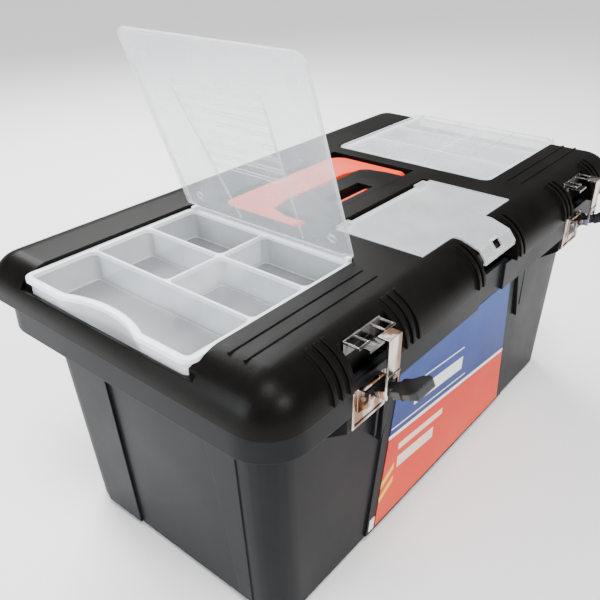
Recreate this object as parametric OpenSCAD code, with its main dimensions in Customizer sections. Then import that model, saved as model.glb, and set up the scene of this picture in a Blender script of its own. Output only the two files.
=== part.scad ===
// Toolbox with tray: a large moulded bin with a hinged lid. The lid carries two end trays with
// hinged covers, a centre compartment with a snap cover and a folding carry handle. Two metal draw
// latches hold the lid. A lift-out tote tray rests inside the bin.
// X runs along the length, the front faces -Y, Z is up. The origin is the centre of the base.

/* [Overall] */
// Length of the lid
lid_l = 560; // [550:1:580]
// Depth of the lid, front to rear
lid_w = 304; // [302:1:308]
// Height of the lid's top above the floor
top_z = 254; // [253:1:255]
// Height of the parting line between bin and lid
rim_z = 221; // [220:1:222]

/* [Bin] */
// Wall thickness of the mouldings
wall = 3; // [2.5:0.5:3.5]
// Half length of the base
base_x = 238; // [230:1:244]
// Half depth of the base
base_y = 117; // [114:1:119]
// Height of the rim band's lower edge
band_z = 195; // [192:1:197]
// How far the rim band stands inside the lid's outline
band_in = 6; // [5:1:7]

/* [Lid] */
// Radius of the lid's front top edge and front corners
front_r = 31; // [28:1:32]
// Radius of the lid's rear top edge and rear corners
rear_r = 27; // [24:1:30]

/* [End trays] */
// Length of an end tray along X
tray_l = 170; // [166:1:172]
// Depth of an end tray along Y
tray_w = 176; // [170:1:180]
// Height of an end tray
tray_h = 27; // [25:1:27]
// Distance of a tray's outer edge from the lid's end
tray_gap = 4; // [4:1:6]
// Angle at which the left cover stands open
cover_angle = 70; // [60:1:80]

/* [Latches] */
// Distance of each latch from the middle
latch_x = 177; // [172:1:180]
// Angle of the open lever from its closed, hanging position
lever_angle = 115; // [100:1:118]

/* [Hidden] */
$fn = 48;
e = 0.01;
run = 0.05;                         // radial clearance of a running fit
gap = 0.4;                          // gap between faces that move past each other

hx = lid_l / 2;
hy = lid_w / 2;
band_x = hx - band_in;
band_y = hy - band_in;
band_r = 36;
foot_h = 6;                         // height of the chamfer round the base
foot_r = 26;                        // corner radius of the walls
wall_x = 253;                       // half length of the walls at the band's lower edge
wall_y = 121;                       // half depth of the walls at the band's lower edge
front_tilt = atan((wall_y - base_y) / (band_z - foot_h));
end_tilt = atan((wall_x - base_x) / (band_z - foot_h));
lip_h = 1;                          // height of the sealing lip above the band

hinge_y = hy + 5;
hinge_z = rim_z;
hinge_x = 150;                      // middle of each hinge
knuckle_r = 7;
knuckle_w = 24;
hinge_pin_r = 2.5;

tray_cx = hx - tray_gap - tray_l / 2;
tray_cy = 5;
tray_top = top_z - 3;
tray_z = tray_top - tray_h;
well_z = tray_z - 0.1;              // floor of the tray wells
rim_h = 3;                          // height of a tray's rim
rim_out = 3;                        // how far the rim stands out from the tray's walls
ledge_z = top_z - 15;               // height of the lid's ends in front of the trays
cut_r = 9;                          // radius of the shoulders beside a ledge
notch_r = 93;                       // radius of the finger notch in a tray's outer wall
notch_d = 9;
skin = 2.2;                         // wall thickness of the clear mouldings
divider_a = 61;                     // dividers, from a tray's outer edge
divider_b = 115;
cover_t = 1.8;
cover_hinge_r = 1.25;
cover_z = tray_top + gap;           // underside of a closed cover
cover_axis_z = cover_z + 1;

centre_x = 74;                      // half length of the centre compartment
centre_front = -120;
centre_rear = -32;
centre_axis_y = centre_rear - 5;
centre_axis_z = top_z - 0.5;
flap_x = 26;                        // half width of the centre cover's flap
flap_y = -147;                    // back face of the flap

handle_x = 86;                      // half length of the handle
handle_rear = 80;
handle_t = 12;
handle_z = top_z - 9;               // height of the handle's axis
handle_pin_r = 4;
recess_z = handle_z - 13;

latch_y = -(hy - 2);                // pivot of the latch levers
latch_z = 207;
latch_base_y = latch_y + 6;         // back face of a latch plate
link_r = 7;                         // distance of the claw's pin from the lever's pivot
hub_r = 3.4;                        // radius of the lever's hub
arm_x = 4.8;                        // half width of the lever's arm
claw_off = 6.5;                     // distance of the strap in front of its pin
claw_w = 14;
plate_x = 19;                       // half width of a latch plate
plate_z = band_z - 13;              // bottom of a latch plate
ear_x = 12.25;                      // ears of the latch plate
tooth_z = 241;                      // top of the keeper's tooth
latch_pin_r = 1.5;
rivet_dz = [-8, -18];               // rivets, from the lever's pivot
pocket_x = 26;                      // half width of a latch pocket
pocket_y = latch_y + 13.6;          // back wall of a latch pocket

step_z = band_z + 3;                // top of the step inside the bin that carries the tote tray
tote_x = 262;
tote_y = 134;
tote_z = 140;
tote_top = step_z + gap + 3;

// A rectangle with round corners, given by its half sizes.
module rrect(x, y, r) {
    square([2 * x, 2 * (y - r)], center = true);
    square([2 * (x - r), 2 * y], center = true);
    for (sx = [-1, 1], sy = [-1, 1])
        translate([sx * (x - r), sy * (y - r)]) circle(r);
}

// A slab with round vertical edges, standing on height z.
module slab(x, y, r, z, h) {
    translate([0, 0, z]) linear_extrude(h) rrect(x, y, r);
}

// A box from its low corner to its high corner.
module span(lo, hi) {
    translate(lo) cube(hi - lo);
}

// A cylinder along X, centred on x.
module rod(x, y, z, r, len) {
    translate([x - len / 2, y, z]) rotate([0, 90, 0]) cylinder(r = r, h = len);
}

// A profile in Y and Z, extruded along X and centred on x.
module bar(x, len) {
    translate([x - len / 2, 0, 0]) rotate([90, 0, 90]) linear_extrude(len) children();
}

// ---------- bin ----------

// The tapered body: t shrinks it on every side, z0 and z1 are its floor and its top.
module taper(t, z0, z1) {
    slope_x = (wall_x - base_x) / (band_z - foot_h);
    slope_y = (wall_y - base_y) / (band_z - foot_h);
    hull() for (s = [[z0, foot_h], [z0 + foot_h, 0], [z1, 0]]) {
        grow = max(s[0] - foot_h, 0);
        translate([0, 0, s[0]])
            linear_extrude(e)
                rrect(base_x + slope_x * grow - t - s[1], base_y + slope_y * grow - t - s[1], foot_r - s[1]);
    }
}

// A flat plate on a sloping wall: outline points are across and up from the wall's foot.
module on_front(points, depth, sink) {
    translate([0, -base_y, foot_h]) rotate([90 + front_tilt, 0, 0])
        translate([0, 0, -sink]) linear_extrude(depth + sink) polygon(points);
}

module on_end(points, depth, sink) {
    translate([-base_x, 0, foot_h]) rotate([90, 0, -90]) rotate([end_tilt, 0, 0])
        translate([0, 0, -sink]) linear_extrude(depth + sink) polygon(points);
}

module bin_knuckles(side) {
    for (s = [-1, 1]) {
        x = side * hinge_x + s * (knuckle_w + 0.6);
        rod(x, hinge_y, hinge_z, knuckle_r, knuckle_w);
        bar(x, knuckle_w)
            polygon([[band_y - 6, band_z + 2], [band_y - 1, band_z + 2], [hinge_y + knuckle_r, hinge_z - 3],
                     [hinge_y + knuckle_r, hinge_z], [band_y - 6, hinge_z]]);
    }
}

module bin() {
    color([0.13, 0.14, 0.15])
    difference() {
        union() {
            taper(0, 0, band_z + 8);
            slab(band_x, band_y, band_r, band_z, rim_z - band_z - 1.5);
            slab(band_x - 3, band_y - 3, band_r - 3, band_z, rim_z - band_z - 1.5 + lip_h);
            on_front([[-108, 172], [108, 172], [130, 2], [-130, 2]], 2, 2);
            for (s = [-1, 1]) {
                on_front([[s * 104, 182], [s * 124, 182], [s * 124, 108]], 5, 2);
                on_front([[s * 127, 182], [s * 130, 182], [s * 133, 118], [s * 130, 118]], 4, 2);
                scale([-s, 1, 1]) on_end([[-44, 186], [-92, 186], [-88, 2], [-44, 2]], 2.5, 2);
                scale([-s, 1, 1]) on_end([[61, 186], [92, 186], [88, 2], [76, 2]], 1, 2);
                bin_knuckles(s);
                // latch pads below the band
                bar(s * latch_x, 2 * plate_x + 6)
                    polygon([[latch_base_y, band_z - 15], [latch_base_y, band_z + 1],
                             [-wall_y + 4, band_z + 1], [-wall_y + 4, band_z - 34]]);
            }
        }
        taper(wall, wall, band_z + 8);
        // the band is wider inside than the walls, which leaves a step
        slab(band_x - 6, band_y - 6, band_r - 6, step_z, 60);
        for (s = [-1, 1]) {
            rod(s * hinge_x, hinge_y, hinge_z, hinge_pin_r + run, 4 * knuckle_w);
            // room for the lid's knuckle
            span([s * hinge_x - knuckle_w / 2 - 0.3, band_y - 3, band_z + 6],
                 [s * hinge_x + knuckle_w / 2 + 0.3, hinge_y + 12, rim_z + 9]);
            // seat of the latch plate
            span([s * latch_x - plate_x - 1, -hy, band_z - 25],
                 [s * latch_x + plate_x + 1, latch_base_y, latch_z + 6]);
        }
        // padlock notch in the middle of the band
        span([-22, -hy, band_z - 2], [22, -band_y + 3, rim_z]);
    }
}

// ---------- lid ----------

// The rounded outside of the lid, shrunk by t on every side.
module lid_form(t) {
    r = front_r - t;
    q = rear_r - t;
    intersection() {
        hull() for (s = [-1, 1]) {
            translate([s * (hx - front_r), -hy + front_r, top_z - front_r]) sphere(r);
            translate([s * (hx - front_r), -hy + front_r, rim_z - t]) cylinder(r = r, h = e);
            translate([s * (hx - rear_r), hy - rear_r, top_z - rear_r]) sphere(q);
            translate([s * (hx - rear_r), hy - rear_r, rim_z - t]) cylinder(r = q, h = e);
        }
        span([-lid_l, -lid_w, rim_z - t], [lid_l, lid_w, top_z]);
    }
}

// The wells that hang inside the lid, grown by t.
module wells(t) {
    for (s = [-1, 1]) translate([s * tray_cx, tray_cy, 0]) {
        slab(tray_l / 2 - rim_out + 1 + t, tray_w / 2 - rim_out + 1 + t, 7 + t, well_z - t, tray_h + 5 + t);
        slab(tray_l / 2 + 0.8 + t, tray_w / 2 + 0.8 + t, 9 + t, tray_top - rim_h - 0.1 - t, 10 + t);
    }
    span([-centre_x - t, centre_front - t, well_z - t], [centre_x + t, centre_rear + t, top_z + 1]);
    span([-handle_x - 3 - t, -13 - t, recess_z - t], [handle_x + 3 + t, handle_rear + 4 + t, top_z + 1]);
}

// The raised middle of the handle recess, which fills the handle's ring.
module island() {
    difference() {
        translate([0, 0, recess_z - 1]) linear_extrude(top_z - recess_z + 1)
            polygon([[-68, -14], [68, -14], [68, 4], [64, 24], [58, 30], [-58, 30], [-64, 24], [-68, 4]]);
        rod(0, 0, handle_z, 7, 150);
        span([-27, -7, handle_z], [27, 10, top_z + 1]);
    }
}

// The cut that lowers one end of the lid to a ledge beside its tray, grown by t.
module end_cut(side, t) {
    half = tray_w / 2 + 3 + t;
    scale([side, 1, 1]) bar(hx + 5, 2 * (tray_gap + 9 + t)) translate([tray_cy, 0]) {
        translate([-half, ledge_z - t]) square([2 * half, top_z - ledge_z + t + 1]);
        // the shoulders beside the ledge are rounded over
        for (s = [-1, 1]) difference() {
            translate([s * (half + cut_r / 2), top_z - cut_r / 2 + 1])
                square([cut_r + 0.2, cut_r + 2], center = true);
            translate([s * (half + cut_r), top_z - cut_r]) circle(cut_r);
        }
    }
}

// Profile of a latch pocket, in Y and Z.
module pocket_profile() {
    polygon([[-hy - 5, rim_z - 5], [pocket_y, rim_z - 5], [pocket_y, top_z - 4], [pocket_y + 6, top_z + 1],
             [-hy - 5, top_z + 1]]);
}

// Profile of the pocket under the centre cover's flap.
module flap_profile() {
    polygon([[-hy - 5, rim_z - 5], [pocket_y, rim_z - 5], [pocket_y, top_z - 16], [centre_front + 1, top_z - 6],
             [centre_front + 1, top_z + 1], [-hy - 5, top_z + 1]]);
}

// One moulded rib over the front edge.
module rib(x) {
    bar(x, 3.2) intersection() {
        difference() {
            union() {
                translate([-hy + front_r, top_z - front_r]) circle(front_r + 2.2);
                translate([-hy - 2.2, rim_z]) square([20, top_z - front_r - rim_z + 1]);
            }
            translate([-hy + front_r, top_z - front_r]) circle(front_r - 5);
            translate([-hy + 5, rim_z - 1]) square([60, top_z - front_r - rim_z + 1]);
        }
        translate([-hy - 3, rim_z + 3]) square([front_r - 6, top_z]);
    }
}

module lid_knuckle(side) {
    x = side * hinge_x;
    rod(x, hinge_y, hinge_z, knuckle_r, knuckle_w);
    bar(x, knuckle_w)
        polygon([[hy - 6, hinge_z], [hinge_y + knuckle_r, hinge_z], [hinge_y + knuckle_r, hinge_z + 2],
                 [hy - 1, hinge_z + 14], [hy - 6, hinge_z + 14]]);
}

module lid() {
    color([0.1, 0.1, 0.1])
    difference() {
        union() {
            difference() {
                union() {
                    lid_form(0);
                    for (s = [-1, 1], k = [0:2], p = [-1, 1]) rib(s * latch_x + p * (pocket_x + 6 + 8 * k));
                    for (k = [0:1], p = [-1, 1]) rib(p * (flap_x + 8 + 7 * k));
                    // raised lines between the trays and the front edge
                    for (s = [-1, 1], y = [-97, -110])
                        scale([s, 1, 1]) span([120, y - 0.8, top_z - 1], [hx - 24, y + 0.8, top_z + 0.7]);
                    lid_knuckle(-1);
                    lid_knuckle(1);
                }
                difference() {
                    lid_form(wall);
                    wells(2.5);
                    for (s = [-1, 1]) {
                        end_cut(s, 2.5);
                        bar(s * latch_x, 2 * pocket_x + 5) translate([2.5, 0]) pocket_profile();
                    }
                    bar(0, 2 * flap_x + 13) translate([2.5, 0]) flap_profile();
                }
                for (s = [-1, 1]) {
                    end_cut(s, 0);
                    bar(s * latch_x, 2 * pocket_x) pocket_profile();
                }
                bar(0, 2 * flap_x + 8) flap_profile();
            }
            // floors of the wells, which reach below the lid's edge
            intersection() {
                wells(2.5);
                span([-hx + wall, -hy + wall, 0], [hx - wall, hy - wall, rim_z + 6]);
            }
            island();
            // catch for the centre cover's flap
            span([-4, flap_y + 3, top_z - 18], [4, pocket_y + 2, top_z - 10]);
        }
        difference() {
            wells(0);
            island();
        }
        for (s = [-1, 1]) {
            rod(s * hinge_x, hinge_y, hinge_z, hinge_pin_r + run, 4 * knuckle_w);
            // room for the bin's knuckles
            for (p = [-1, 1])
                span([s * hinge_x + p * (knuckle_w + 0.6) - knuckle_w / 2 - 0.3, hy - 14, rim_z - 9],
                     [s * hinge_x + p * (knuckle_w + 0.6) + knuckle_w / 2 + 0.3, hinge_y + 12, rim_z + 9]);
            rod(s * (handle_x + 3), 0, handle_z, handle_pin_r + run, 12);
            rod(s * centre_x, centre_axis_y, centre_axis_z - 3, cover_hinge_r + run, 12);
        }
    }
}

module hinge_pin(side) {
    color([0.7, 0.7, 0.72])
    union() {
        rod(side * hinge_x, hinge_y, hinge_z, hinge_pin_r, 3 * knuckle_w + 6);
        rod(side * hinge_x + side * (1.5 * knuckle_w + 3), hinge_y, hinge_z, 4, 2);
    }
}

// ---------- carry handle ----------

module handle() {
    color([0.9, 0.28, 0.1])
    union() {
        translate([0, 0, handle_z - handle_t / 2]) linear_extrude(handle_t) difference() {
            union() {
                translate([0, handle_rear / 2 + 10]) rrect(handle_x, handle_rear / 2 - 10, 16);
                for (s = [-1, 1]) translate([s * (handle_x - 7.5), 0]) square([15, 80], center = true);
            }
            polygon([[-71, -60], [71, -60], [71, 8], [66, 34], [45, 40], [-45, 40], [-66, 34], [-71, 8]]);
            // the arms end on the axis, where they are round
            translate([0, -30]) square([200, 60], center = true);
        }
        for (s = [-1, 1]) rod(s * (handle_x - 7.5), 0, handle_z, handle_t / 2, 15);
        rod(0, 0, handle_z, 5, 2 * handle_x - 12);
        rod(0, 0, handle_z, handle_pin_r, 2 * handle_x + 16);
    }
}

// ---------- end trays ----------

// Outline of a tray with the finger notch in its outer wall; t shrinks it.
module tray_outline(t) {
    difference() {
        rrect(tray_l / 2 - t, tray_w / 2 - t, 9 - t);
        translate([-tray_l / 2 - notch_r + notch_d, 0]) circle(notch_r + t, $fn = 96);
    }
}

// One compartment, between x0 and x1 from the outer edge and y0 and y1 from the middle.
module cell(x0, x1, y0, y1) {
    translate([(x0 + x1) / 2 - tray_l / 2, (y0 + y1) / 2]) rrect((x1 - x0) / 2, (y1 - y0) / 2, 5);
}

module tray_body() {
    in = tray_w / 2 - skin - rim_out;
    cross = 0;
    difference() {
        union() {
            linear_extrude(tray_h) tray_outline(rim_out);
            translate([0, 0, tray_h - rim_h]) linear_extrude(rim_h) tray_outline(0);
            // ears of the cover's hinge
            for (s = [-1, 1])
                translate([tray_l / 2 - 3.5, s * (tray_w / 2 - 6), tray_h + 0.1])
                    cube([6, 4, 6.2], center = true);
        }
        translate([0, 0, skin]) linear_extrude(tray_h) intersection() {
            tray_outline(rim_out + skin);
            union() {
                cell(0, divider_a - 1, -in, in);
                cell(divider_a + 1, divider_b - 1, -in, cross - 1);
                cell(divider_a + 1, divider_b - 1, cross + 1, in);
                cell(divider_b + 1, tray_l - skin - rim_out, -in, cross - 1);
                cell(divider_b + 1, tray_l - skin - rim_out, cross + 1, in);
            }
        }
        translate([tray_l / 2 - 3, 0, cover_axis_z - tray_z]) rotate([90, 0, 0])
            cylinder(r = cover_hinge_r + run, h = tray_w + 20, center = true);
        // the cover's hinge bead lies in a groove
        translate([tray_l / 2 - 3, 0, tray_h + 0.6]) cube([10, tray_w - 15, 3.2], center = true);
    }
    // corner feet rings on the floor of the outer compartment
    for (s = [-1, 1])
        translate([-tray_l / 2 + 18, s * (tray_w / 2 - 18), skin - e]) difference() {
            cylinder(r = 4, h = 1.2);
            translate([0, 0, -1]) cylinder(r = 2.6, h = 4);
        }
}

module tray(side) {
    color([0.82, 0.87, 0.92, 0.6])
    translate([side * tray_cx, tray_cy, tray_z]) tray_body();
}

// A closed cover about its hinge axis: the panel reaches back towards -X.
module cover_body() {
    reach = tray_l - 3;
    z = cover_z - cover_axis_z;
    deco_z = z + cover_t - e;
    union() {
        difference() {
            union() {
                translate([-reach / 2 + 1, 0, z]) linear_extrude(cover_t) rrect(reach / 2 + 1, tray_w / 2, 9);
                // edge bead round the panel
                translate([-reach / 2 + 1, 0, deco_z]) linear_extrude(1) difference() {
                    rrect(reach / 2 - 1, tray_w / 2 - 1, 8);
                    rrect(reach / 2 - 3, tray_w / 2 - 3, 6);
                }
            }
            // corners left free for the hinge ears
            for (s = [-1, 1]) translate([1, s * (tray_w / 2 - 2), 0]) cube([12, 14, 12], center = true);
        }
        // hinge bead and its end pins
        rotate([90, 0, 0]) cylinder(r = 1.2, h = tray_w - 17, center = true);
        rotate([90, 0, 0]) cylinder(r = cover_hinge_r, h = tray_w - 7, center = true);
        // ladder of raised rungs between a long rib and a slanting one
        for (k = [0:7]) translate([-59.5 - 10 * k, -38, deco_z]) cube([3, 72 + 2 * k, 0.9]);
        translate([-124, -40, deco_z]) cube([118, 1.6, 0.9]);
        translate([-6, 27, deco_z]) rotate([0, 0, 168]) cube([118, 1.6, 0.9]);
        // small round bosses near the corners
        for (x = [-16, 22 - reach], s = [-1, 1]) translate([x, s * (tray_w / 2 - 18), deco_z]) difference() {
            cylinder(r = 4, h = 0.9);
            translate([0, 0, -1]) cylinder(r = 2.6, h = 4);
        }
    }
}

module cover(side, angle) {
    color([0.85, 0.88, 0.92, 0.4])
    translate([side * tray_cx + tray_l / 2 - 3, tray_cy, cover_axis_z]) rotate([0, angle, 0]) cover_body();
}

module centre_cover() {
    zt = centre_axis_z - 3;
    color([0.85, 0.88, 0.92, 0.4])
    union() {
        span([-centre_x + 0.6, centre_front + 0.6, top_z - 1.6],
             [centre_x - 0.6, centre_axis_y - 3, top_z + 0.6]);
        for (s = [-1, 1])
            span([s * 60 - 8, centre_axis_y - 5, zt - 2], [s * 60 + 8, centre_axis_y + 1.6, top_z + 0.6]);
        rod(0, centre_axis_y, zt, 2, 2 * centre_x - 3);
        rod(0, centre_axis_y, zt, cover_hinge_r, 2 * centre_x + 8);
        difference() {
            bar(0, 2 * flap_x)
                polygon([[centre_front + 1, top_z - 1.6], [centre_front + 1, top_z + 0.6],
                         [centre_front - 6, top_z + 0.6], [flap_y + 4, top_z - 5],
                         [flap_y - 2.2, top_z - 13], [flap_y - 2.2, top_z - 17],
                         [flap_y, top_z - 17], [flap_y, top_z - 13.5],
                         [flap_y + 5, top_z - 7], [centre_front - 6, top_z - 1.6]]);
            span([-6, -170, top_z - 12], [6, centre_front - 20, top_z - 5]);
        }
    }
}

// ---------- tote tray ----------

module tote_tray() {
    color([0.12, 0.12, 0.13])
    difference() {
        union() {
            slab(tote_x - 22, tote_y - 22, 22, tote_z, tote_top - tote_z - 1);
            slab(tote_x, tote_y, 26, tote_top - 3, 3);
        }
        difference() {
            slab(tote_x - 25, tote_y - 25, 19, tote_z + 3, 90);
            span([-103, -tote_y, tote_z], [-100, tote_y, tote_top - 8]);
            span([-300, -1.5, tote_z], [-100, 1.5, tote_top - 8]);
            // posts of the carry handle
            for (s = [-1, 1]) span([s * 95 - 5, -9, tote_z], [s * 95 + 5, 9, tote_top]);
        }
    }
}

module tote_handle() {
    color([0.12, 0.12, 0.13])
    union() {
        rod(0, 0, tote_top - 8, 7, 180);
        for (s = [-1, 1]) rod(s * 84, 0, tote_top - 8, 8, 12);
    }
}

// ---------- label and sticker ----------

module front_label() {
    color([0.9, 0.3, 0.15])
    on_front([[-98, 160], [98, 160], [118, 6], [-118, 6]], 2.6, -2);
}

module sticker() {
    color([0.9, 0.9, 0.88])
    on_front([[-127, 6], [-120, 6], [-118.6, 18], [-125.6, 18]], 2.6, -2);
}

// ---------- latches ----------

module latch_plate(side) {
    x = side * latch_x;
    top = latch_z + 5;
    color([0.75, 0.74, 0.72])
    difference() {
        union() {
            span([x - plate_x, latch_base_y - 1.2, plate_z], [x + plate_x, latch_base_y, top]);
            // pressed border
            for (s = [-1, 1])
                span([x + s * (plate_x - 1) - 1, latch_base_y - 2, plate_z],
                     [x + s * (plate_x - 1) + 1, latch_base_y - 1, top]);
            span([x - plate_x, latch_base_y - 2, plate_z], [x + plate_x, latch_base_y - 1, plate_z + 2]);
            for (s = [-1, 1])
                bar(x + s * ear_x, 1.5)
                    polygon([[latch_base_y, latch_z - 14], [latch_base_y - 2, latch_z - 14],
                             [latch_y - 4, latch_z - 5], [latch_y - 4, top], [latch_base_y, top]]);
        }
        rod(x, latch_y, latch_z, latch_pin_r + run, 40);
        for (dz = rivet_dz)
            translate([x, latch_base_y + 1, latch_z + dz]) rotate([90, 0, 0]) cylinder(r = 2.1, h = 6);
    }
}

module rivets() {
    color([0.75, 0.74, 0.72])
    for (s = [-1, 1], dz = rivet_dz) translate([s * latch_x, latch_base_y, latch_z + dz]) {
        rotate([90, 0, 0]) cylinder(r = 2, h = 1.3);
        translate([0, -1.3, 0]) rotate([90, 0, 0]) cylinder(r1 = 3.2, r2 = 2.4, h = 0.8);
    }
}

module pivot_pin(side) {
    color([0.75, 0.74, 0.72]) rod(side * latch_x, latch_y, latch_z, latch_pin_r, 28);
}

// Turns what is drawn in the closed position to the resting lever angle.
module swung(side) {
    translate([side * latch_x, latch_y, latch_z]) rotate([-lever_angle, 0, 0]) children();
}

module latch_lever(side) {
    color([0.08, 0.08, 0.09])
    swung(side) difference() {
        union() {
            rod(0, 0, 0, hub_r, 2 * ear_x - 3);
            span([-arm_x, -3, -20], [arm_x, 3, 0]);
            bar(0, 18) polygon([[-3, -19], [3, -19], [2.6, -28], [-2.6, -28]]);
            translate([0, 3, 0]) rotate([90, 0, 0]) linear_extrude(6)
                polygon([[-9, -26], [9, -26], [13, -31], [13, -36],
                         [10, -40], [-10, -40], [-13, -36], [-13, -31]]);
        }
        rod(0, 0, 0, latch_pin_r + run, 40);
        rod(0, 0, -link_r, latch_pin_r + run, 40);
        // the tongue's underside is scooped
        translate([0, 10, -34]) rotate([0, 90, 0]) cylinder(r = 9, h = 40, center = true);
    }
}

module link_pin(side) {
    color([0.75, 0.74, 0.72]) swung(side) rod(0, 0, -link_r, latch_pin_r, claw_w + 0.4);
}

module latch_claw(side) {
    qy = -link_r * sin(lever_angle);
    qz = -link_r * cos(lever_angle);
    top = tooth_z + 0.3 - (latch_z - link_r);
    lug_x = claw_w / 2 - 0.75;
    color([0.78, 0.76, 0.74])
    translate([side * latch_x, latch_y + qy, latch_z + qz]) difference() {
        union() {
            for (s = [-1, 1]) {
                rod(s * lug_x, 0, 0, 2.8, 1.5);
                bar(s * lug_x, 1.5) polygon([[0, -2.4], [0, 2.4], [-claw_off, 5], [-claw_off, -2.4]]);
            }
            span([-claw_w / 2, -claw_off, -2.4], [claw_w / 2, -claw_off + 1.5, top + 1.5]);
            span([-claw_w / 2, -claw_off, top], [claw_w / 2, 2.5, top + 1.5]);
            // pressed edge across the strap
            span([-claw_w / 2, -claw_off - 0.6, 14], [claw_w / 2, -claw_off + 1, 15.4]);
        }
        rod(0, 0, 0, latch_pin_r + run, 40);
        // slot through which the lever's arm reaches
        span([-arm_x - 0.5, -20, -10], [arm_x + 0.5, 0, 10.5]);
    }
}

module keeper(side) {
    x = side * latch_x;
    color([0.78, 0.76, 0.74])
    union() {
        span([x - 20, pocket_y - 1.5, tooth_z - 4], [x + 20, pocket_y - e, tooth_z + 8]);
        span([x - 8, latch_y, tooth_z - 2], [x + 8, pocket_y - 1, tooth_z]);
        // wire loops beside the strap
        for (s = [-1, 1]) {
            rod(x + s * 14, latch_y + 1, tooth_z + 6.5, 1, 12);
            for (w = [9, 19])
                translate([x + s * w, pocket_y - 1, tooth_z + 6.5]) rotate([90, 0, 0])
                    cylinder(r = 1, h = pocket_y - 2 - latch_y);
        }
    }
}

bin();
lid();
hinge_pin(-1);  // left_hinge_pin
hinge_pin(1);  // right_hinge_pin
handle();
tray(-1);  // left_tray
tray(1);  // right_tray
cover(-1, cover_angle);  // left_cover
cover(1, 0);  // right_cover
centre_cover();
tote_tray();
tote_handle();
front_label();
sticker();
rivets();  // latch_rivets
latch_plate(-1);  // left_latch_plate
latch_plate(1);  // right_latch_plate
latch_lever(-1);  // left_latch_lever
latch_lever(1);  // right_latch_lever
latch_claw(-1);  // left_latch_claw
latch_claw(1);  // right_latch_claw
pivot_pin(-1);  // left_pivot_pin
pivot_pin(1);  // right_pivot_pin
link_pin(-1);  // left_link_pin
link_pin(1);  // right_link_pin
keeper(-1);  // left_keeper
keeper(1);  // right_keeper
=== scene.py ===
import math

import bpy
from mathutils import Matrix, Vector


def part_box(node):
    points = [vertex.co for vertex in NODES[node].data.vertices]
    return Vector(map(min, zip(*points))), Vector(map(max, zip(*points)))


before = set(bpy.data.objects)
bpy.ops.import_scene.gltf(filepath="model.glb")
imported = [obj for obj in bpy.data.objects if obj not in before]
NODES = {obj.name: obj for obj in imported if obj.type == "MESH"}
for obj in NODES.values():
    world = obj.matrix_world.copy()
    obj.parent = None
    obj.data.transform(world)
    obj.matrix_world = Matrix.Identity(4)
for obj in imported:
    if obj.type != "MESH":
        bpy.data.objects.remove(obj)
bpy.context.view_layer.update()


WELD_DISTANCE = 0.000004
SHARP_ANGLE = math.radians(26)
FLOOR_HALF = 14.0
STUDIO_LIGHT = 0.26


# ---------- node helpers ----------

class Net:
    """A material's node tree with short ways to add and join nodes."""

    def __init__(self, name):
        self.mat = bpy.data.materials.new(name)
        self.mat.use_nodes = True
        self.tree = self.mat.node_tree
        self.tree.nodes.clear()
        self.out = self.tree.nodes.new("ShaderNodeOutputMaterial")
        self.bsdf = self.tree.nodes.new("ShaderNodeBsdfPrincipled")
        self.join(self.bsdf.outputs[0], self.out.inputs["Surface"])
        self.place = self.add("ShaderNodeTexCoord").outputs["Object"]

    def add(self, kind, props=None, **values):
        node = self.tree.nodes.new(kind)
        for key, value in (props or {}).items():
            setattr(node, key, value)
        for key, value in values.items():
            self.put(node.inputs[key.replace("_", " ")], value)
        return node

    def put(self, socket, value):
        if isinstance(value, bpy.types.NodeSocket):
            self.join(value, socket)
        else:
            socket.default_value = value

    def join(self, a, b):
        self.tree.links.new(a, b)

    def set(self, **values):
        for key, value in values.items():
            self.put(self.bsdf.inputs[key.replace("_", " ")], value)

    def math(self, op, a, b=0.0, c=0.0, clamp=False):
        node = self.add("ShaderNodeMath", {"operation": op, "use_clamp": clamp})
        for socket, value in zip(node.inputs, (a, b, c)):
            self.put(socket, value)
        return node.outputs[0]

    def noise(self, scale, detail=3.0, rough=0.55, stretch=None):
        place = self.place
        if stretch:
            place = self.add("ShaderNodeMapping", Vector=place, Scale=stretch).outputs[0]
        node = self.add("ShaderNodeTexNoise", Vector=place, Scale=scale, Detail=detail, Roughness=rough)
        return node.outputs["Fac"]

    def span(self, value, low, high, to_low=0.0, to_high=1.0):
        node = self.add("ShaderNodeMapRange", {"clamp": True})
        for socket, v in zip(node.inputs, (value, low, high, to_low, to_high)):
            self.put(socket, v)
        return node.outputs[0]

    def mix(self, fac, a, b):
        node = self.add("ShaderNodeMix", {"data_type": "RGBA"})
        self.put(node.inputs[0], fac)
        self.put(node.inputs[6], a)
        self.put(node.inputs[7], b)
        return node.outputs[2]

    def bump(self, height, distance, strength=1.0, normal=None):
        node = self.add("ShaderNodeBump", Height=height, Distance=distance, Strength=strength)
        if normal is not None:
            self.put(node.inputs["Normal"], normal)
        return node.outputs[0]

    def edges(self, radius):
        """A mask that is 1 along sharp outer edges, and the softened normal."""
        soft = self.add("ShaderNodeBevel", {"samples": 4}, Radius=radius).outputs[0]
        true = self.add("ShaderNodeNewGeometry").outputs["Normal"]
        dot = self.add("ShaderNodeVectorMath", {"operation": "DOT_PRODUCT"})
        self.put(dot.inputs[0], soft)
        self.put(dot.inputs[1], true)
        return self.span(dot.outputs["Value"], 0.995, 0.8), soft


def rgb(r, g, b):
    return (r, g, b, 1.0)


# ---------- materials ----------

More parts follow.
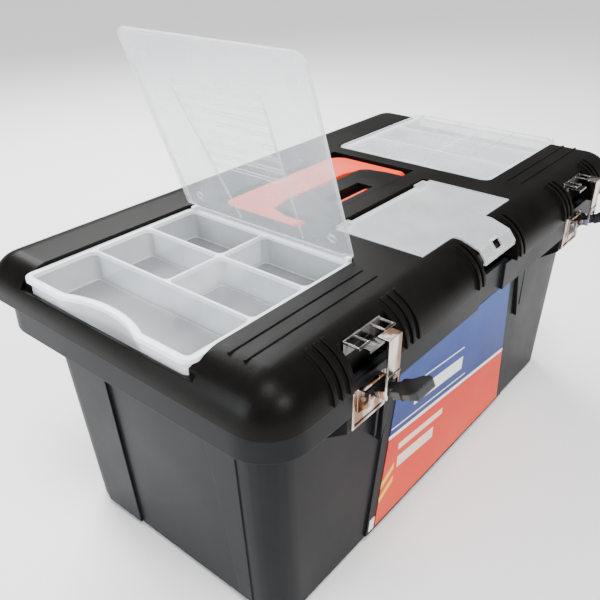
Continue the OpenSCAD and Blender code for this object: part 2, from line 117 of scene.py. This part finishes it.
def moulded(name, base, worn, rough, grain=900.0, depth=0.00006, shine=0.3, sheen_noise=0.08):
    """Injection moulded plastic: fine spark texture, cloudy gloss, scuffed edges."""
    n = Net(name)
    mask, soft = n.edges(0.0012)
    grainy = n.noise(grain, 2.0, 0.6)
    cloud = n.noise(14.0, 4.0, 0.6)
    scuff = n.noise(70.0, 5.0, 0.75, stretch=(1.0, 1.0, 0.35))
    wear = n.math("MULTIPLY", mask, n.span(scuff, 0.42, 0.7), clamp=True)
    tone = n.mix(n.span(cloud, 0.3, 0.75, 0.0, 0.5), base, worn)
    n.set(Base_Color=n.mix(wear, tone, worn))
    haze = n.span(cloud, 0.25, 0.75, rough - sheen_noise, rough + sheen_noise)
    n.set(Roughness=n.math("ADD", haze, n.math("MULTIPLY", grainy, 0.06)))
    n.set(Normal=n.bump(grainy, depth, 0.6, soft), IOR=1.5)
    n.set(Specular_IOR_Level=shine)
    return n.mat


def clear(name, base, rough, alpha, edge_alpha, floor=1.0, rim_z=9.0, flow=0.0002):
    """Frosted translucent plastic: denser along edges, ribs and rims, thinner on floors, with flow marks."""
    n = Net(name)
    mask, soft = n.edges(0.0011)
    cloud = n.noise(22.0, 3.0, 0.5)
    fine = n.noise(420.0, 2.0, 0.5)
    scratch = n.noise(90.0, 5.0, 0.8, stretch=(1.0, 0.12, 1.0))
    pale = (min(base[0] * 1.1, 1.0), min(base[1] * 1.1, 1.0), min(base[2] * 1.08, 1.0), 1.0)
    tone = n.mix(n.span(cloud, 0.3, 0.7), base, pale)
    n.set(Base_Color=n.mix(mask, tone, rgb(0.95, 0.96, 0.97)))
    haze = n.span(cloud, 0.2, 0.8, rough - 0.06, rough + 0.08)
    n.set(Roughness=n.math("ADD", haze, n.span(scratch, 0.6, 0.8, 0.0, 0.12)))
    body = n.span(cloud, 0.25, 0.75, alpha - 0.04, alpha + 0.04)
    place = n.add("ShaderNodeSeparateXYZ", Vector=n.place)
    facing = n.add("ShaderNodeSeparateXYZ", Vector=n.add("ShaderNodeNewGeometry").outputs["Normal"])
    level = n.math("GREATER_THAN", n.math("ABSOLUTE", facing.outputs[2]), 0.9)
    low = n.math("LESS_THAN", place.outputs[2], rim_z)
    thin = n.math("MULTIPLY", level, low)
    body = n.math("MULTIPLY", body, n.span(thin, 0.0, 1.0, 1.0, floor))
    rim = n.math("MULTIPLY", n.math("SUBTRACT", 1.0, low), edge_alpha)
    dense = n.math("MAXIMUM", n.math("MULTIPLY", mask, edge_alpha), rim)
    n.set(Alpha=n.math("ADD", body, dense, clamp=True), IOR=1.46)
    n.set(Normal=n.bump(n.math("ADD", cloud, n.math("MULTIPLY", fine, 0.08)), flow, 0.5, soft))
    return n.mat


def metal(name, base, dark, rough, brushed=False):
    """Plated or bright steel with faint polishing marks, broad darker patches and a painted highlight along
    sharp edges.
    """
    n = Net(name)
    mask, soft = n.edges(0.0005)
    lines = n.noise(420.0, 3.0, 0.6, stretch=(1.0, 1.0, 0.06))
    cloud = n.noise(55.0, 4.0, 0.65)
    broad = n.noise(95.0, 1.0, 0.4, stretch=(1.0, 1.0, 0.3))
    # broad patches toward the dark tone; for the latch plating this brown tone is a painted reflection
    tone = n.mix(n.span(broad, 0.4, 0.56), base, dark)
    # sharp edges are mixed to near white: a painted highlight along the edges
    n.set(Base_Color=n.mix(mask, tone, rgb(0.9, 0.88, 0.86)), Metallic=1.0)
    haze = n.span(cloud, 0.3, 0.8, rough, rough + 0.16)
    n.set(Roughness=n.math("ADD", haze, n.math("MULTIPLY", lines, 0.05)))
    n.set(Normal=n.bump(lines, 0.00003, 0.5 if brushed else 0.2, soft))
    return n.mat


BODY = moulded("bin_plastic", rgb(0.005, 0.0056, 0.0066), rgb(0.02, 0.022, 0.025), 0.4, shine=0.1)
LID = moulded("lid_plastic", rgb(0.0026, 0.0023, 0.002), rgb(0.012, 0.0108, 0.0095), 0.33,
              grain=520.0, depth=0.00016, shine=0.06)
TOTE = moulded("tote_plastic", rgb(0.012, 0.012, 0.013), rgb(0.04, 0.04, 0.042), 0.5)
ORANGE = moulded("handle_plastic", rgb(0.75, 0.035, 0.001), rgb(0.82, 0.07, 0.006), 0.36, grain=600.0)
LEVER = moulded("lever_plastic", rgb(0.004, 0.004, 0.004), rgb(0.03, 0.03, 0.03), 0.18,
                grain=500.0, shine=0.6)
# the trays' rims are solid above this height
RIM_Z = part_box("left_tray")[1].z - 0.0065
TRAY = clear("tray_plastic", rgb(0.86, 0.91, 0.97), 0.3, 0.38, 0.55, floor=0.4, rim_z=RIM_Z)
COVER = clear("cover_plastic", rgb(0.86, 0.9, 0.94), 0.26, 0.27, 0.62)
# the brown dark tone of the latch plating is a painted brown reflection
CHROME = metal("latch_plating", rgb(0.75, 0.68, 0.62), rgb(0.26, 0.14, 0.08), 0.1)
WIRE = metal("keeper_plating", rgb(0.2, 0.19, 0.185), rgb(0.08, 0.075, 0.07), 0.2)
STEEL = metal("bright_steel", rgb(0.6, 0.6, 0.62), rgb(0.35, 0.34, 0.34), 0.25, brushed=True)


def label_print():
    """Printed film: blue over orange, parted by a pale stripe, with plain bars and slanted marks."""
    n = Net("label_print")
    low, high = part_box("front_label")
    split = n.add("ShaderNodeSeparateXYZ")
    n.put(split.inputs[0], n.place)
    u = n.span(split.outputs[0], low.x, high.x)
    v = n.span(split.outputs[2], low.z, high.z)
    tilt = n.math("ADD", v, n.math("MULTIPLY", u, 0.17))

    def band(value, a, b):
        return n.math("MULTIPLY", n.math("GREATER_THAN", value, a), n.math("LESS_THAN", value, b))

    white, yellow = rgb(0.82, 0.83, 0.84), rgb(0.85, 0.5, 0.02)
    blue = n.mix(n.span(tilt, 0.6, 1.05), rgb(0.007, 0.025, 0.16), rgb(0.014, 0.055, 0.26))
    orange = n.mix(n.span(v, 0.0, 0.5), rgb(0.72, 0.04, 0.002), rgb(0.6, 0.016, 0.002))
    colour = n.mix(n.math("GREATER_THAN", tilt, 0.595), orange, blue)
    colour = n.mix(band(tilt, 0.585, 0.61), colour, white)
    # plain bars: left and right end, lower and upper edge, colour
    bars = (
        (0.06, 0.6, 0.645, 0.653, white),
        (0.1, 0.56, 0.86, 0.868, white),
        (0.2, 0.56, 0.71, 0.8, white),
        (0.12, 0.44, 0.46, 0.505, rgb(0.86, 0.62, 0.5)),
        (0.12, 0.38, 0.33, 0.41, rgb(0.86, 0.66, 0.56)),
    )
    for left, right, lower, upper, tint in bars:
        bar = n.math("MULTIPLY", band(u, left, right), band(tilt, lower, upper))
        colour = n.mix(bar, colour, tint)
    # two slanted marks near the lower left corner
    slant = n.math("SUBTRACT", v, n.math("MULTIPLY", u, 0.9))
    mark_width = 0.045
    for start in (0.14, 0.235):
        mark = n.math("MULTIPLY", band(u, 0.015, 0.1), band(slant, start, start + mark_width))
        colour = n.mix(mark, colour, yellow)
    cloud = n.noise(30.0, 3.0, 0.5)
    n.set(Base_Color=n.mix(n.span(cloud, 0.35, 0.8, 0.0, 0.06), colour, rgb(0.7, 0.7, 0.7)))
    n.set(Roughness=n.span(cloud, 0.2, 0.8, 0.4, 0.55), Specular_IOR_Level=0.15)
    n.set(Normal=n.bump(cloud, 0.0003, 0.3))
    return n.mat


def paper():
    """Fibrous paper of the small sticker."""
    n = Net("sticker_paper")
    fibre = n.noise(900.0, 4.0, 0.7)
    n.set(Base_Color=n.mix(fibre, rgb(0.7, 0.7, 0.68), rgb(0.85, 0.85, 0.83)))
    n.set(Roughness=n.span(fibre, 0.2, 0.8, 0.55, 0.75), Normal=n.bump(fibre, 0.00004, 0.4))
    return n.mat


LABEL = label_print()
PAPER = paper()

FINISH = {
    "bin": BODY, "lid": LID, "handle": ORANGE, "tote_tray": TOTE, "tote_handle": TOTE,
    "front_label": LABEL, "sticker": PAPER,
    "left_tray": TRAY, "right_tray": TRAY,
    "left_cover": COVER, "right_cover": COVER, "centre_cover": COVER,
}


def finish_of(name):
    if name in FINISH:
        return FINISH[name]
    if name.endswith("_lever"):
        return LEVER
    if name.endswith("_pin"):
        return STEEL
    if name.endswith("_keeper"):
        return WIRE
    return CHROME


def smoothing():
    """A modifier group that joins the faces of a part and shades them smooth up to a sharp angle."""
    group = bpy.data.node_groups.new("smoothing", "GeometryNodeTree")
    group.interface.new_socket("Geometry", in_out="INPUT", socket_type="NodeSocketGeometry")
    group.interface.new_socket("Geometry", in_out="OUTPUT", socket_type="NodeSocketGeometry")
    new, link = group.nodes.new, group.links.new
    start, end = new("NodeGroupInput"), new("NodeGroupOutput")
    bare = new("GeometryNodeRemoveAttribute")
    bare.inputs["Name"].default_value = "custom_normal"
    weld = new("GeometryNodeMergeByDistance")
    weld.inputs["Distance"].default_value = WELD_DISTANCE
    smooth = new("GeometryNodeSetShadeSmooth")
    smooth.domain = "FACE"
    smooth.inputs["Shade Smooth"].default_value = True
    clear_edges = new("GeometryNodeSetShadeSmooth")
    clear_edges.domain = "EDGE"
    clear_edges.inputs["Shade Smooth"].default_value = True
    angle = new("GeometryNodeInputMeshEdgeAngle")
    wide = new("ShaderNodeMath")
    wide.operation = "GREATER_THAN"
    wide.inputs[1].default_value = SHARP_ANGLE
    sharp = new("GeometryNodeSetShadeSmooth")
    sharp.domain = "EDGE"
    sharp.inputs["Shade Smooth"].default_value = False
    link(start.outputs[0], bare.inputs["Geometry"])
    link(bare.outputs[0], weld.inputs["Geometry"])
    link(weld.outputs[0], smooth.inputs["Geometry"])
    link(smooth.outputs[0], clear_edges.inputs["Geometry"])
    link(clear_edges.outputs[0], sharp.inputs["Geometry"])
    link(angle.outputs["Unsigned Angle"], wide.inputs[0])
    link(wide.outputs[0], sharp.inputs["Selection"])
    link(sharp.outputs[0], end.inputs[0])
    return group


SMOOTHING = smoothing()
for name, obj in NODES.items():
    mesh = obj.data
    mesh.materials.clear()
    mesh.materials.append(finish_of(name))
    mesh.shade_smooth()
    obj.modifiers.new("smoothing", "NODES").node_group = SMOOTHING


# ---------- floor, light and camera ----------

def floor():
    mesh = bpy.data.meshes.new("floor")
    r = FLOOR_HALF
    mesh.from_pydata([(-r, -r, 0), (r, -r, 0), (r, r, 0), (-r, r, 0)], [], [(0, 1, 2, 3)])
    obj = bpy.data.objects.new("floor", mesh)
    bpy.context.collection.objects.link(obj)
    n = Net("floor_paper")
    cloud = n.noise(3.0, 3.0, 0.5)
    n.set(Base_Color=n.mix(cloud, rgb(0.88, 0.88, 0.88), rgb(0.92, 0.92, 0.92)), Roughness=0.7)
    mesh.materials.append(n.mat)


def softbox(name, place, target, size, power, tint=(1.0, 1.0, 1.0)):
    data = bpy.data.lights.new(name, "AREA")
    data.shape = "RECTANGLE"
    data.size, data.size_y = size
    data.energy = power
    data.color = tint
    obj = bpy.data.objects.new(name, data)
    obj.location = place
    obj.rotation_euler = (Vector(target) - Vector(place)).to_track_quat("-Z", "Y").to_euler()
    bpy.context.collection.objects.link(obj)


floor()
middle = (0.0, 0.0, 0.2)
softbox("rear_light", (0.5, 1.1, 1.3), middle, (1.3, 0.6), 60.0)
softbox("left_light", (-1.8, 0.5, 0.7), middle, (1.0, 1.0), 40.0, (0.93, 0.97, 1.0))
softbox("front_light", (-0.3, -1.6, 1.3), middle, (0.6, 0.4), 34.0, (1.0, 0.96, 0.92))
overhead = bpy.data.lights.new("overhead", "SUN")
overhead.energy = 3.2
overhead.angle = math.radians(24)
sky = bpy.data.objects.new("overhead", overhead)
sky.rotation_euler = (math.radians(14), math.radians(-10), 0)
bpy.context.collection.objects.link(sky)

world = bpy.data.worlds.new("studio")
bpy.context.scene.world = world
world.use_nodes = True
world.node_tree.nodes["Background"].inputs["Color"].default_value = (0.9, 0.92, 0.95, 1.0)
world.node_tree.nodes["Background"].inputs["Strength"].default_value = STUDIO_LIGHT

cam = bpy.data.cameras.new("camera")
cam.sensor_width = 36.0
cam.lens = 42.3
cam.shift_x = 0.0075
cam.shift_y = -0.011
eye = bpy.data.objects.new("camera", cam)
azimuth, elevation, roll = math.radians(-50.0), math.radians(29.0), math.radians(-0.6)
level_part = math.cos(elevation)
ahead = Vector((-math.sin(azimuth) * level_part, math.cos(azimuth) * level_part, -math.sin(elevation)))
level = ahead.to_track_quat("-Z", "Y").to_matrix()
eye.rotation_euler = (level @ Matrix.Rotation(roll, 3, "Z")).to_euler()
eye.location = (-0.4947, -0.3494, 0.4850)
bpy.context.collection.objects.link(eye)
bpy.context.scene.camera = eye
